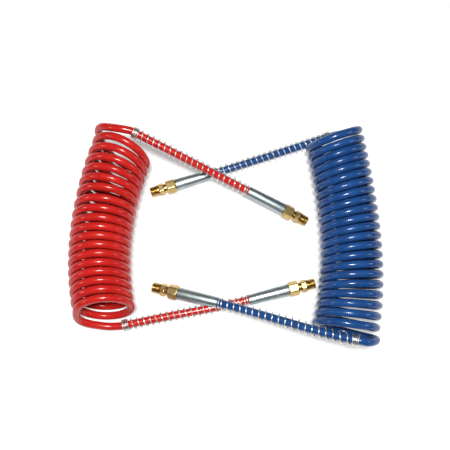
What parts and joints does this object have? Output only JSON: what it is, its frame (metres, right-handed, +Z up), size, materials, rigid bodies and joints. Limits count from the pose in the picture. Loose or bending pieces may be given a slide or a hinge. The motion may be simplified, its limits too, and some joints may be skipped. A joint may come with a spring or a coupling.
{
  "type": "pair of coiled air hoses",
  "caption": "Matched pair of self-retracting coiled air hoses with spring guards, grip sleeves and swivelling male brass fittings.",
  "frame": {"origin": "middle of the pair's footprint, on the surface the hoses lie on", "axes": "+X across the pair from the red coil to the blue coil, +Y along the coils from front to back, +Z up"},
  "size_m": [0.475, 0.355, 0.0983],
  "materials": {
    "red_tube": "glossy red nylon tube",
    "blue_tube": "glossy blue nylon tube",
    "spring_steel": "bright zinc-plated spring wire",
    "sleeve_zinc": "drawn steel, zinc plated, pale blue passivation",
    "brass": "turned brass",
    "seal_rubber": "black seal rubber"
  },
  "bodies": {
    "root": {"red_coil": "red_tube", "blue_coil": "blue_tube", "red_back_lead": "red_tube", "red_back_spring_guard": "spring_steel", "red_back_grip_sleeve": "sleeve_zinc", "red_back_hex_body": "brass", "red_back_ferrule": "brass", "red_back_tube_insert": "brass", "red_back_snap_ring": "spring_steel", "blue_front_lead": "blue_tube", "blue_front_spring_guard": "spring_steel", "blue_front_grip_sleeve": "sleeve_zinc", "blue_front_hex_body": "brass", "blue_front_ferrule": "brass", "blue_front_tube_insert": "brass", "blue_front_snap_ring": "spring_steel"},
    "red_front_end": {"red_front_lead": "red_tube", "red_front_spring_guard": "spring_steel", "red_front_grip_sleeve": "sleeve_zinc", "red_front_hex_body": "brass", "red_front_ferrule": "brass", "red_front_tube_insert": "brass", "red_front_snap_ring": "spring_steel"},
    "blue_back_end": {"blue_back_lead": "blue_tube", "blue_back_spring_guard": "spring_steel", "blue_back_grip_sleeve": "sleeve_zinc", "blue_back_hex_body": "brass", "blue_back_ferrule": "brass", "blue_back_tube_insert": "brass", "blue_back_snap_ring": "spring_steel"},
    "red_front_swivel": {"red_front_swivel_end": "brass", "red_front_o_ring": "seal_rubber"},
    "red_back_swivel": {"red_back_swivel_end": "brass", "red_back_o_ring": "seal_rubber"},
    "blue_front_swivel": {"blue_front_swivel_end": "brass", "blue_front_o_ring": "seal_rubber"},
    "blue_back_swivel": {"blue_back_swivel_end": "brass", "blue_back_o_ring": "seal_rubber"}
  },
  "joints": [
    {"name": "red_stretch", "type": "slide", "parent": "root", "child": "red_front_end", "axis": [-0.1908, -0.9816, 0], "range_m": [0, 2.9], "stiffness_N_per_m": 12, "deforming": ["red_coil"]},
    {"name": "blue_stretch", "type": "slide", "parent": "root", "child": "blue_back_end", "axis": [0.1736, 0.9848, 0], "range_m": [0, 3.4], "stiffness_N_per_m": 12, "deforming": ["blue_coil"]},
    {"name": "red_front_swivel_turn", "type": "hinge", "parent": "red_front_end", "child": "red_front_swivel", "pos_m": [0.1393, -0.0777, 0.0103], "axis": [-0.9692, -0.2462, 0], "continuous": true},
    {"name": "red_back_swivel_turn", "type": "hinge", "parent": "root", "child": "red_back_swivel", "pos_m": [0.1297, 0.0219, 0.00817], "axis": [-0.8834, 0.412, 0.2233], "continuous": true},
    {"name": "blue_front_swivel_turn", "type": "hinge", "parent": "root", "child": "blue_front_swivel", "pos_m": [-0.1126, -0.0839, 0.00828], "axis": [0.9529, -0.2411, 0.184], "continuous": true},
    {"name": "blue_back_swivel_turn", "type": "hinge", "parent": "blue_back_end", "child": "blue_back_swivel", "pos_m": [-0.1203, 0.0696, 0.0103], "axis": [0.9537, 0.3007, 0], "continuous": true}
  ]
}
